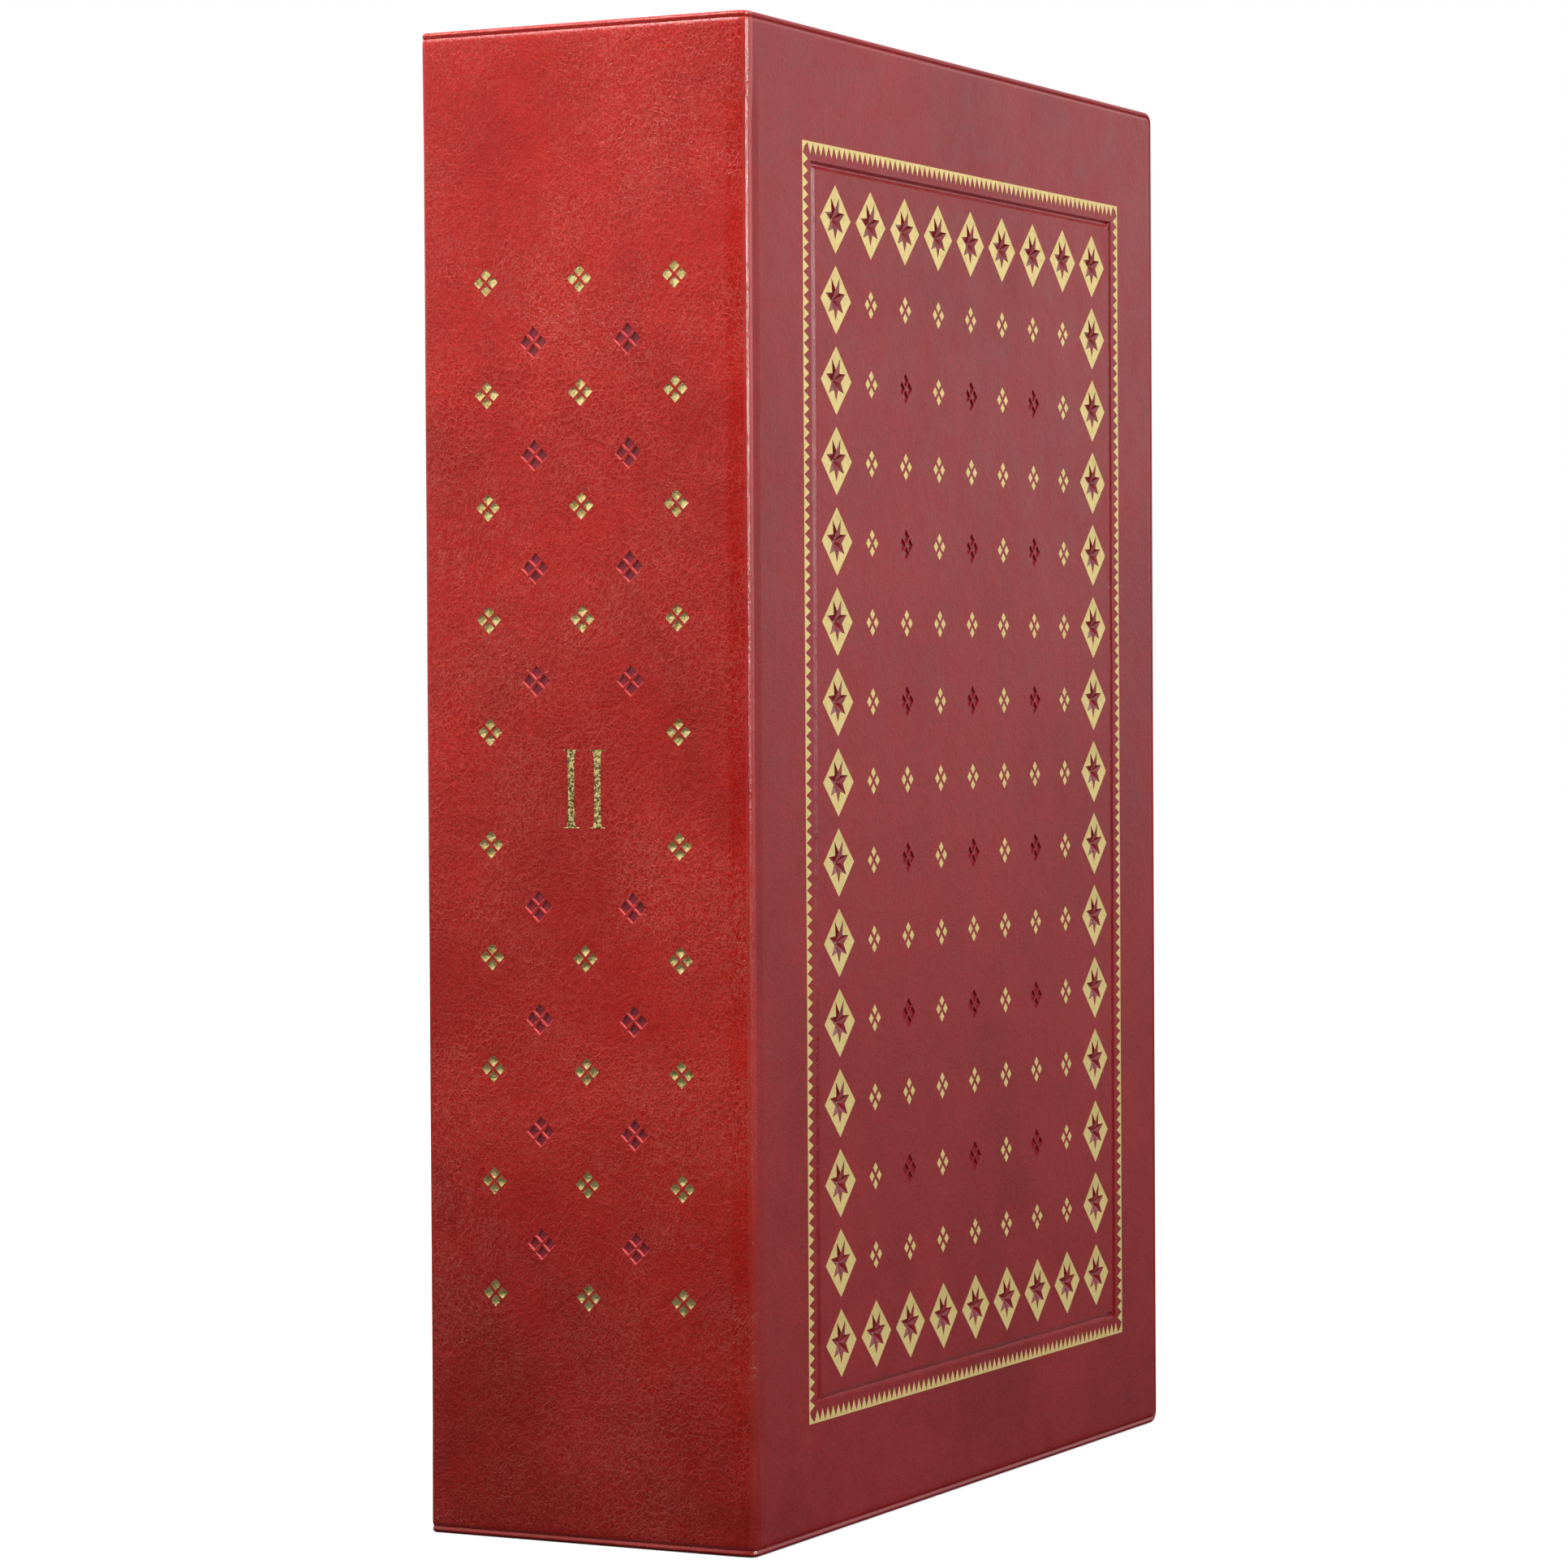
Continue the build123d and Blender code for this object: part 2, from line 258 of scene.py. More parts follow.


# calf leather: slow clouds of colour, a net of fine wrinkles, wandering fibres and pores, and a painted shade
# darkening it towards the tail
def leatherMaterial(name, calf):
    s = Shader(name)
    clouds = s.noise(16.0, 5.0, 0.62, 0.6)
    colour = s.ramp(clouds, [(0.28, calf["deep"]), (0.5, calf["middle"]), (0.74, calf["bright"])])
    patches = s.noise(60.0, 4.0, 0.6, 1.2)
    patchTone = s.ramp(patches, [(0.3, (0.74, 0.66, 0.66)), (0.62, (1.0, 1.0, 1.0))])
    colour = s.mixed("MULTIPLY", 0.45, colour, patchTone)

    wandering = s.warped(22.0, 0.02)
    hairs = s.noise(1.0, 3.0, 0.55, 0.35, s.stretched((1150.0, 1150.0, 330.0), wandering))
    crossing = s.noise(1.0, 3.0, 0.55, 0.3, s.stretched((620.0, 620.0, 1000.0), s.warped(35.0, 0.03)))
    line = s.grey(s.maths("ABSOLUTE", s.maths("SUBTRACT", hairs, 0.5), 0.0), 1.0, 0.0, 0.0, 0.045)
    where = s.grey(s.noise(42.0, 3.0, 0.6), 0.0, 1.0, 0.40, 0.62)
    fibres = s.maths("MULTIPLY", line, where)
    colour = s.mixed("MIX", s.maths("MULTIPLY", fibres, 0.30 * calf["fibre"]), colour, calf["rubbed"])

    net = s.cells(1.0, s.stretched((900.0, 900.0, 520.0), s.warped(330.0, 0.0022)))
    crease = s.grey(net, 1.0, 0.0, 0.0, 0.16)
    creased = s.maths("MULTIPLY", crease, s.grey(s.noise(34.0, 4.0, 0.65), 0.1, 1.0, 0.36, 0.64))
    colour = s.mixed("MIX", s.maths("MULTIPLY", creased, 0.20 * calf["wrinkle"]), colour, calf["rubbed"])
    grain = s.noise(2300.0, 3.0, 0.6, 0.4)
    speckle = s.grey(grain, 1.0 - 0.28 * calf["grain"], 1.0 + 0.22 * calf["grain"], 0.33, 0.67)
    colour = s.mixed("MULTIPLY", 1.0, colour, speckle)
    # painted shade: the colour darkens towards the tail, down to the given share at the bottom edge and back
    # to full colour 0.14 m up
    split = s.node("ShaderNodeSeparateXYZ")
    s.link(s.place, split.inputs[0])
    wearAndShade = s.grey(split.outputs["Z"], calf["foot"], 1.0, 0.0, 0.14)
    colour = s.mixed("MULTIPLY", 1.0, colour, wearAndShade)

    height = s.maths("MULTIPLY", fibres, -0.4 * calf["fibre"])
    height = s.maths("ADD", height, s.maths("MULTIPLY", crossing, calf["flow"]))
    height = s.maths("ADD", height, s.maths("MULTIPLY", creased, 0.30 * calf["wrinkle"]))
    height = s.maths("ADD", height, s.maths("MULTIPLY", grain, 0.55))
    normal = s.bump(height, 0.30 + 0.30 * calf["grain"], 0.00022)
    normal = s.bump(s.noise(110.0, 3.0, 0.6), 0.30, 0.0005, normal)
    wear = s.maths("ADD", s.maths("MULTIPLY", patches, 0.6), s.maths("MULTIPLY", hairs, 0.4))
    roughness = s.grey(wear, calf["rough"] - 0.06, calf["rough"] + 0.10, 0.3, 0.7)
    return s.finish(colour, roughness, normal, Specular_IOR_Level=calf["gloss"])


def foilMaterial(name, foil):
    s = Shader(name)
    rubbed = s.noise(foil["patch"], 4.0, 0.65, 0.8)
    tone = s.ramp(rubbed, [(foil["worn"], foil["tarnish"]), (0.55, foil["gold"])])
    normal = s.bump(s.noise(foil["dent"], 3.0, 0.6), foil["dented"], 0.00015)
    shine = s.grey(rubbed, foil["rough"] + 0.12, foil["rough"], 0.3, 0.6)
    return s.finish(tone, shine, normal, Metallic=foil["metal"])


# the floor of a pressed motif: the leather is burnished dark and shiny there; the spine's bright pink wall
# tone made with it is a painted highlight
def pressedMaterial(name, colour, rough):
    s = Shader(name)
    cloud = s.noise(700.0, 4.0, 0.6, 0.5)
    tone = s.ramp(cloud, [(0.3, tuple(0.55 * c for c in colour)), (0.65, colour)])
    normal = s.bump(s.noise(2400.0, 3.0, 0.6), 0.4, 0.0001)
    return s.finish(tone, s.grey(cloud, rough + 0.1, rough, 0.3, 0.7), normal, Specular_IOR_Level=0.6)


def paperMaterial(name, light, dark, rough=0.8):
    s = Shader(name)
    fibres = s.noise(1.0, 4.0, 0.6, 0.4, s.stretched((2600.0, 900.0, 2200.0), s.warped(60.0, 0.004)))
    clouds = s.noise(25.0, 4.0, 0.6)
    both = s.maths("ADD", s.maths("MULTIPLY", fibres, 0.5), s.maths("MULTIPLY", clouds, 0.5))
    tone = s.ramp(both, [(0.35, dark), (0.65, light)])
    return s.finish(tone, s.grey(fibres, rough - 0.08, rough + 0.08), s.bump(fibres, 0.25, 0.00008))


def metalMaterial(name, colour, rough, brushed):
    s = Shader(name)
    strokes = s.noise(1.0, 3.0, 0.6, 0.1, s.stretched(brushed))
    stains = s.noise(90.0, 4.0, 0.6)
    tone = s.ramp(stains, [(0.3, tuple(0.8 * c for c in colour)), (0.6, colour)])
    wearAndShade = s.maths("ADD", s.maths("MULTIPLY", strokes, 0.6), s.maths("MULTIPLY", stains, 0.4))
    roughness = s.grey(wearAndShade, rough, rough + 0.14, 0.35, 0.65)
    return s.finish(tone, roughness, s.bump(strokes, 0.15, 0.00006), Metallic=1.0)


def filmMaterial(name):
    s = Shader(name)
    ripple = s.noise(140.0, 3.0, 0.5)
    return s.finish((0.93, 0.95, 0.96), s.grey(ripple, 0.08, 0.2), s.bump(ripple, 0.2, 0.0003), Alpha=0.28)


# the spine and cover calves are painted lit and shaded tones of one leather
litSpineLeather = leatherMaterial("spine calf painted lit tone", litSpineCalf)
shadedCoverLeather = leatherMaterial("cover calf painted shaded tone", shadedCoverCalf)
foldLeather = leatherMaterial("rubbed calf with painted highlight", foldCalf)
burnishedLeather = leatherMaterial("burnished calf", burnishedCalf)
pressedLeather = pressedMaterial("pressed calf", (0.36, 0.018, 0.034), 0.3)
# painted highlight: the walls of the spine's blind squares are coloured bright pink for the light they catch
ridgeHighlightLeather = pressedMaterial("ridge calf painted highlight", (0.88, 0.12, 0.12), 0.22)
starLeather = pressedMaterial("star calf", (0.31, 0.009, 0.016), 0.22)
coverFoil = foilMaterial("cover foil", {
    "gold": (0.98, 0.78, 0.32), "tarnish": (0.87, 0.66, 0.25), "metal": 0.45, "rough": 0.46,
    "worn": 0.3, "patch": 700.0, "dent": 1500.0, "dented": 0.2})
spineFoil = foilMaterial("spine foil", {
    "gold": (1.0, 0.84, 0.36), "tarnish": (0.50, 0.34, 0.08), "metal": 0.86, "rough": 0.13,
    "worn": 0.36, "patch": 650.0, "dent": 900.0, "dented": 0.5})
numeralFoil = foilMaterial("numeral foil", {
    "gold": (1.0, 0.85, 0.34), "tarnish": (0.13, 0.075, 0.012), "metal": 0.5, "rough": 0.3,
    "worn": 0.45, "patch": 1300.0, "dent": 1300.0, "dented": 1.0})
boardPaper = paperMaterial("grey board", (0.42, 0.40, 0.36), (0.30, 0.28, 0.25))
liningPaper = paperMaterial("lining paper", (0.30, 0.045, 0.05), (0.19, 0.022, 0.026), 0.62)
leafPaper = paperMaterial("leaf card", (0.87, 0.82, 0.71), (0.80, 0.74, 0.62))
ruleInk = paperMaterial("rule ink", (0.30, 0.28, 0.26), (0.22, 0.20, 0.19), 0.6)
plateSteel = metalMaterial("plate steel", (0.62, 0.62, 0.63), 0.26, (60.0, 2400.0, 60.0))
nickel = metalMaterial("nickel", (0.74, 0.72, 0.69), 0.14, (900.0, 900.0, 900.0))
springSteel = metalMaterial("spring steel", (0.40, 0.40, 0.42), 0.3, (1800.0, 1800.0, 1800.0))
clearFilm = filmMaterial("clear film")
print("materials ready")


edge = {
    "face": 3.4,         # the flat face ends this far from the edge
    "turnIn": 15.2,      # leather turned in on the inside
    "cornerRadius": 3.0,
    "wave": 0.045,       # slight unevenness of the pressed face
    "waveSize": 26.0,
    "waveFade": 18.0,    # the unevenness dies out over this length towards the edges
    "coverStep": 7.0,    # between the free points of a cover face
    "spineStep": 5.0,
    "bandMargin": 1.5,   # free points keep this clear of the frame and its groove
    "cornerSteps": 8,
    "acrossSteps": 34,
    "upSteps": 52,
}

# (distance in from the edge, depth below the face): crease, bead, round, side, turn-in
turnOver = [
    (3.4, 0.0), (2.3, 0.0), (2.12, 0.03), (1.66, 0.17), (1.5, 0.23), (1.36, 0.18), (0.98, 0.05),
    (0.82, 0.0), (0.66, 0.02), (0.46, 0.12), (0.26, 0.30), (0.1, 0.62), (0.02, 1.0), (0.0, 1.6),
]
lips = (2, 5)     # the two sloping walls of the crease, glossy; on the spine their lighter tone is partly rubbed wear, partly a painted highlight
turnIn = [
    (0.0, wall - 1.3), (0.08, wall - 0.75), (0.32, wall - 0.3), (0.75, wall - 0.06), (1.3, wall),
    (7.0, wall), (edge["turnIn"] - 0.3, wall),
    (edge["turnIn"], wall - 0.12), (edge["turnIn"] + 0.05, wall - 0.45),
]


def wave(u, v, seed):
    return edge["wave"] * (1.3 + noise.noise(Vector((u / edge["waveSize"], v / edge["waveSize"], seed))))


# a face with pressed motifs: outlines are nested loops, each with a depth and what lies inside it
class PressedFace:
    def __init__(self, outline, low, high, seed):
        self.points = [(u, v, 0.0) for u, v in outline]
        self.loops = [list(range(len(outline)))]
        self.regions = ["face"]
        self.edges = []
        self.keepOut = []
        self.bands = []
        self.low, self.high, self.seed = low, high, seed
        self.rim = len(outline)

    def add(self, outline, depth, region):
        first = len(self.points)
        self.points += [(u, v, depth) for u, v in outline]
        self.loops.append(list(range(first, len(self.points))))
        self.regions.append(region)
        return first

    def centre(self, u, v, depth, spokes):
        self.points.append((u, v, depth))
        self.edges += [(len(self.points) - 1, spoke) for spoke in spokes]

    def guard(self, u, v, reach):
        self.keepOut.append((u, v, reach))

    def inBand(self, u, v):
        for cu, cv, halfU, halfV, wide in self.bands:
            gap = min(halfU - abs(u - cu), halfV - abs(v - cv))
            if -edge["bandMargin"] < gap < wide:
                return True
        return False

    # points between the motifs, for the slow waves of the face
    def scatter(self, step):
        lowU, lowV = self.low
        highU, highV = self.high
        countU, countV = int((highU - lowU) / step), int((highV - lowV) / step)
        for i in range(1, countU):
            for j in range(1, countV):
                u, v = lowU + (highU - lowU) * i / countU, lowV + (highV - lowV) * j / countV
                free = all(abs(u - cu) + abs(v - cv) > reach for cu, cv, reach in self.keepOut)
                if free and not self.inBand(u, v):
                    self.points.append((u, v, 0.0))

    def lift(self, u, v, depth):
        lowU, lowV = self.low
        highU, highV = self.high
        inside = min(u - lowU, highU - u, v - lowV, highV - v)
        return depth + wave(u, v, self.seed) * smooth(inside / edge["waveFade"])

    def solve(self):
        flat = [Vector((u, v)) for u, v, depth in self.points]
        found = delaunay_2d_cdt(flat, self.edges, self.loops, 1, 1e-5)
        verts, faces, sources, owners = found[0], found[2], found[3], found[5]
        depths = [max((self.points[s][2] for s in source), default=0.0) for source in sources]
        points = [(v.x, v.y, self.lift(v.x, v.y, d)) for v, d in zip(verts, depths)]
        regions = [self.regions[max(owner)] if owner else "face" for owner in owners]
        rimPlace = {s: i for i, source in enumerate(sources) for s in source if s < self.rim}
        return points, faces, regions, [rimPlace[i] for i in range(self.rim)]


def onPoint(u, v, half):
    return [(u + half, v), (u, v + half), (u - half, v), (u, v - half)]


tooling = {
    "pitch": 17.68,         # border lozenges, both ways
    "columns": 9,
    "rows": 15,
    "columnStart": 42.2,    # from the spine edge
    "lozengeHalf": 7.55,
    "starDepth": 1.0,
    "starRim": 0.05,
    "starTips": [(270, 4.6), (324, 4.7), (18, 5.0), (67, 5.4), (113, 5.2), (165, 5.1), (218, 4.7)],
    "starWaist": 2.35,
    "smallHalf": 1.2,
    "smallReach": 1.85,
    "blindHalf": 1.6,
    "blindReach": 1.88,
    "blindDepth": 0.42,
    "blindWall": 0.2,       # sloping side of a blind square
    "smallDepth": 0.22,
    "frameGap": 16.0,       # from lozenge centres to the foil frame
    "tooth": 2.6,
    "toothLength": 2.75,
    "line": 0.25,
    "grooveGap": 4.1,
    "groove": [(0.0, 0.0), (0.25, 0.45), (0.55, 0.76), (0.85, 0.80), (1.8, 0.0)],
}


def lozenge(face, u, v):
    half = tooling["lozengeHalf"]
    face.add(onPoint(u, v, half), 0.0, "foil")
    tips = tooling["starTips"]
    outline = []
    for i, (angle, reach) in enumerate(tips):
        following = tips[(i + 1) % len(tips)][0]
        between = math.radians(angle + ((following - angle) % 360) / 2)
        a = math.radians(angle)
        outline.append((u + reach * math.cos(a), v + reach * math.sin(a)))
        waist = tooling["starWaist"]
        outline.append((u + waist * math.cos(between), v + waist * math.sin(between)))
    first = face.add(outline, tooling["starRim"], "star")
    face.centre(u, v, tooling["starDepth"], range(first, first + len(outline)))
    face.guard(u, v, half + 1.0)


def fourSquares(face, u, v, half, reach, depth, region, floor=None, wall=0.36):
    for du, dv in ((reach, 0), (0, reach), (-reach, 0), (0, -reach)):
        if region != "foil":
            face.add(onPoint(u + du, v + dv, half), 0.0, "rim")
            face.add(onPoint(u + du, v + dv, half - wall), depth, region)
            continue
        face.add(onPoint(u + du, v + dv, half), 0.0, "foil")
        if floor:
            first = face.add(onPoint(u + du, v + dv, half - 0.2), depth, "foil")
            face.centre(u + du + floor[0], v + dv + floor[1], depth + floor[2], range(first, first + 4))
    face.guard(u, v, reach + half + 0.8)


def rectangle(cu, cv, halfU, halfV, inset):
    u, v = halfU - inset, halfV - inset
    corners = [(cu - u, cv - v), (cu + u, cv - v), (cu + u, cv + v), (cu - u, cv + v)]
    outline = []
    for (au, av), (bu, bv) in zip(corners, corners[1:] + corners[:1]):
        parts = round(max(abs(bu - au), abs(bv - av)) / tooling["pitch"] * 2)
        outline += [(au + (bu - au) * i / parts, av + (bv - av) * i / parts) for i in range(parts)]
    return outline


# a rectangle whose four sides are rows of teeth that point inwards
def toothed(cu, cv, halfU, halfV, line, length):
    outline = []
    start = tooling["tooth"]
    for quarter in range(4):
        alongHalf, acrossHalf = (halfU, halfV) if quarter % 2 == 0 else (halfV, halfU)
        count = round((2 * alongHalf - 2 * start) / tooling["tooth"])
        step = (2 * alongHalf - 2 * start) / count
        side = [(-alongHalf + line + 0.9, -acrossHalf + line + 0.9)]
        for i in range(count):
            side.append((-alongHalf + start + i * step, -acrossHalf + line))
            side.append((-alongHalf + start + (i + 0.5) * step, -acrossHalf + length))
        side.append((alongHalf - start, -acrossHalf + line))
        turn = Matrix.Rotation(math.radians(90 * quarter), 2)
        outline += [tuple(turn @ Vector(p) + Vector((cu, cv))) for p in side]
    return outline


def coverTooling(face):
    t = tooling
    firstU = -halfWide + t["columnStart"]
    spanU, spanV = (t["columns"] - 1) * t["pitch"], (t["rows"] - 1) * t["pitch"]
    firstV = (tall - spanV) / 2
    cu, cv = firstU + spanU / 2, tall / 2
    halfU, halfV = spanU / 2 + t["frameGap"], spanV / 2 + t["frameGap"]
    face.add(rectangle(cu, cv, halfU, halfV, 0.0), 0.0, "foil")
    face.add(toothed(cu, cv, halfU, halfV, t["line"], t["toothLength"]), 0.0, "face")
    for i, (inset, depth) in enumerate(t["groove"]):
        last = i == len(t["groove"]) - 1
        face.add(rectangle(cu, cv, halfU, halfV, t["grooveGap"] + inset), depth, "face" if last else "groove")
    face.bands.append((cu, cv, halfU, halfV, t["grooveGap"] + t["groove"][-1][0] + edge["bandMargin"]))
    for column in range(t["columns"]):
        for row in range(t["rows"]):
            u, v = firstU + column * t["pitch"], firstV + row * t["pitch"]
            if column in (0, t["columns"] - 1) or row in (0, t["rows"] - 1):
                lozenge(face, u, v)
            elif column % 2 == 0 and row % 2 == 0:
                fourSquares(face, u, v, t["blindHalf"], t["blindReach"],
                            t["blindDepth"], "star", wall=t["blindWall"])
            else:
                fourSquares(face, u, v, t["smallHalf"], t["smallReach"], t["smallDepth"], "foil")


spineTooling = {
    "columnPitch": 23.32,
    "rowPitch": 24.52,
    "rows": 10,
    "firstRow": 53.9,
    "lean": -0.0036,         # the rows were tooled a little askew
    "blindDrop": 1.15,
    "half": 1.28,
    "reach": 1.72,
    "goldDepth": 0.03,
    "goldFloor": (0.12, 0.15, 0.05),    # the lowest spot of a gold square: across, up, down
    "numeralRows": (4, 5),   # the middle column is left out here
    "numeralTall": 17.0,
    "stem": 1.7,
    "stemGap": 6.5,
    "serif": 3.9,
    "serifThick": 0.22,
    "numeralDepth": 0.10,
    "numeralGuard": 12.0,
}


# one stem of the volume number: flared ends and hairline serifs
def numeralStem(u, v):
    s = spineTooling
    h, w, f, k = s["numeralTall"] / 2, s["stem"] / 2, s["serif"] / 2, s["serifThick"]
    right = [(f, -h), (f, -h + k), (w + 0.28, -h + k)]
    right += [(w + 0.05, -h + 1.1), (w - 0.06, -h / 2), (w - 0.1, 0.0)]
    right += [(x, -y) for x, y in reversed(right[:-1])]
    left = [(-x, y) for x, y in reversed(right)]
    return [(u + x, v + y) for x, y in right + left]


def drawSpineTooling(face):
    s = spineTooling
    for row in range(s["rows"]):
        v = s["firstRow"] + row * s["rowPitch"]
        shift = s["lean"] * (v - s["firstRow"])
        for column in (-1, 0, 1):
            if column == 0 and row in s["numeralRows"]:
                continue
            fourSquares(face, shift + column * s["columnPitch"], v, s["half"], s["reach"],
                        s["goldDepth"], "foil", floor=s["goldFloor"])
        if row == s["rows"] - 1 or row == s["numeralRows"][0]:
            continue
        for side in (-0.5, 0.5):
            fourSquares(face, shift + side * s["columnPitch"], v + s["rowPitch"] / 2 - s["blindDrop"],
                        tooling["blindHalf"], tooling["blindReach"], tooling["blindDepth"], "blind")
    middle = s["firstRow"] + s["numeralRows"][0] * s["rowPitch"] + s["rowPitch"] / 2
    shift = s["lean"] * (middle - s["firstRow"])
    for side in (-0.5, 0.5):
        stem = numeralStem(shift + side * s["stemGap"], middle)
        face.add(stem, s["numeralDepth"], "numeral")
        face.guard(shift + side * s["stemGap"], middle, s["numeralGuard"])


film = {"above": 0.03, "below": 0.02}    # its two sides, from the pressed leather


# the foil lies on the pressed leather as a film of its own
def foilFilm(points, faces, lay):
    used = sorted({i for face in faces for i in face})
    place = {old: new for new, old in enumerate(used)}
    top = [lay(points[i][0], points[i][1], max(points[i][2] - film["above"], 0.0)) for i in used]
    under = [lay(points[i][0], points[i][1], points[i][2] + film["below"]) for i in used]
    count = len(used)
    made, sides = [], {}
    for face in faces:
        ring = [place[i] for i in face]
        made.append(tuple(ring))
        made.append(tuple(i + count for i in reversed(ring)))
        for a, b in zip(ring, ring[1:] + ring[:1]):
            sides[(a, b)] = sides.get((a, b), 0) + 1
    for a, b in sides:
        if (b, a) not in sides:
            made.append((b, a, a + count, b + count))
    return top + under, made


# which of a board's materials each region of its face takes
def sortRegions(regions):
    index = {"face": 0, "foil": 0, "numeral": 0, "groove": 3, "rim": 4, "blind": 1, "star": 2}
    return [index[region] for region in regions]


# a path round tail, fore edge and head of a cover, this far in from the edge
def uPath(inset):
    acrossSteps, upSteps, cornerSteps = edge["acrossSteps"], edge["upSteps"], edge["cornerSteps"]
    radius = max(edge["cornerRadius"] - inset, 0.25)
    fore = halfWide - inset
    bend = fore - radius
    low, high = inset + radius, tall - inset - radius
    turns = [math.radians(90 * i / cornerSteps) for i in range(cornerSteps)]
    path = [(coverStart + (bend - coverStart) * i / acrossSteps, inset) for i in range(acrossSteps)]
    path += [(bend + radius * math.sin(a), inset + radius - radius * math.cos(a)) for a in turns]
    path += [(fore, low + (high - low) * i / upSteps) for i in range(upSteps)]
    path += [(bend + radius * math.cos(a), high + radius * math.sin(a)) for a in turns]
    path += [(bend + (coverStart - bend) * i / acrossSteps, tall - inset) for i in range(acrossSteps + 1)]
    return path


def coverBoard(name, side, body, node, seed):
    def lay(u, v, h):
        return (side * (halfThick - h), u, v)

    outline = uPath(edge["face"])
    low, high = (coverStart, edge["face"]), (halfWide - edge["face"], tall - edge["face"])
    face = PressedFace(outline, low, high, seed)
    coverTooling(face)
    face.scatter(edge["coverStep"])
    points, faces, regions, rim = face.solve()
    foilFaces = [f for f, region in zip(faces, regions) if region == "foil"]
    kinds = sortRegions(regions)
    made = [tuple(f) for f in faces]
    placed = [lay(*p) for p in points]
    rings = [rim]
    for inset, depth in turnOver[1:] + turnIn:
        path = uPath(inset)
        rings.append(list(range(len(placed), len(placed) + len(path))))
        placed += [lay(u, v, depth) for u, v in path]
    for k, (ringA, ringB) in enumerate(zip(rings, rings[1:])):
        for i in range(len(ringA) - 1):
            made.append((ringA[i], ringA[i + 1], ringB[i + 1], ringB[i]))
            kinds.append(3 if k in lips else 0)
    made.append(tuple(rings[-1]))
    made.append(tuple([ring[0] for ring in rings] + [ring[-1] for ring in reversed(rings)]))
    kinds += [0, 0]
    calves = [shadedCoverLeather, pressedLeather, starLeather, burnishedLeather, burnishedLeather]
    board = meshObject(name + "_leather_skin", placed, made, calves, kinds)
    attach(board, body)
    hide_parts(node)
    filmPoints, filmFaces = foilFilm(points, foilFaces, lay)
    gold = meshObject(name + "_gold_tooling", filmPoints, filmFaces, [coverFoil])
    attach(gold, body)


coverBoard("front_cover", 1, "front_cover", "front_leather", 3.1)
coverBoard("back_cover", -1, "back_cover", "back_leather", 8.7)
print("covers tooled")


def spineBoard():
    def lay(u, v, h):
        return (u, -halfWide + h, v)

    steps = 20
    across = [-spineEdge + 2 * spineEdge * i / steps for i in range(steps + 1)]
    inset = edge["face"]
    outline = [(u, inset) for u in across] + [(u, tall - inset) for u in reversed(across)]
    face = PressedFace(outline, (-spineEdge, inset), (spineEdge, tall - inset), 5.5)
    drawSpineTooling(face)
    face.scatter(edge["spineStep"])
    points, faces, regions, rim = face.solve()
    foilFaces = [f for f, region in zip(faces, regions) if region in ("foil", "numeral")]
    foilKinds = [int(region == "numeral") for region in regions if region in ("foil", "numeral")]
    kinds = sortRegions(regions)
    made = [tuple(f) for f in faces]
    placed = [lay(*p) for p in points]
    tail, head = rim[:steps + 1], rim[steps + 1:][::-1]
    tailRings, headRings = [tail], [head]
    for fromEdge, depth in turnOver[1:] + turnIn:
        for rings, height in ((tailRings, fromEdge), (headRings, tall - fromEdge)):
            rings.append(list(range(len(placed), len(placed) + steps + 1)))
            placed += [lay(u, height, depth) for u in across]
    for rings in (tailRings, headRings):
        for k, (ringA, ringB) in enumerate(zip(rings, rings[1:])):
            for i in range(steps):
                made.append((ringA[i], ringA[i + 1], ringB[i + 1], ringB[i]))
                kinds.append(3 if k in lips else 0)
    lastTail, lastHead = tailRings[-1], headRings[-1]
    for i in range(steps):
        made.append((lastTail[i], lastTail[i + 1], lastHead[i + 1], lastHead[i]))
        kinds.append(0)
    for end in (0, -1):
        made.append(tuple([ring[end] for ring in tailRings] + [ring[end] for ring in reversed(headRings)]))
        kinds.append(0)
    calves = [litSpineLeather, pressedLeather, starLeather, foldLeather, ridgeHighlightLeather]
    board = meshObject("spine_leather_skin", placed, made, calves, kinds)
    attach(board, "spine")
    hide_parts("spine_leather")
    filmPoints, filmFaces = foilFilm(points, foilFaces, lay)
    filmKinds = [kind for kind in foilKinds for twice in range(2)]
    filmKinds += [0] * (len(filmFaces) - len(filmKinds))
    gold = meshObject("spine_gold_tooling", filmPoints, filmFaces, [spineFoil, numeralFoil], filmKinds)
    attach(gold, "spine")


spineBoard()
print("spine tooled")


joint = {
    "thick": 2.2,         # of the turned leather at the joint
    "sunk": {1: 0.40, -1: 0.10},    # front and back: how far the middle lies below the ends
    "sunkFrom": 12.0,     # from head and tail
    "sunkOver": 14.0,
    "spineFall": {1: 0.75, -1: 0.25},    # the spine leather falls away this much towards the fold
    "coverFall": 0.10,
    "fold": {1: 2.0, -1: 1.1},       # the fold is rounded off over this length
    "facet": {1: 1.15, -1: 0.5},        # the ironed flat along the fold
    "facetTurn": 53.0,
    "foldSteps": 11,
    "inner": 2.75,        # the lining side bows in to this radius
    "innerSteps": 8,
    "innerCore": 0.12,
    "innerEnd": [(0.5, 0.9), (0.35, 0.35), (0.9, 0.06), (2.0, 0.0)],    # rounded end: height, fall
    "coreEnd": 0.9,
    "tucked": 0.25,       # the lining side reaches this far past the middle of the joint
}


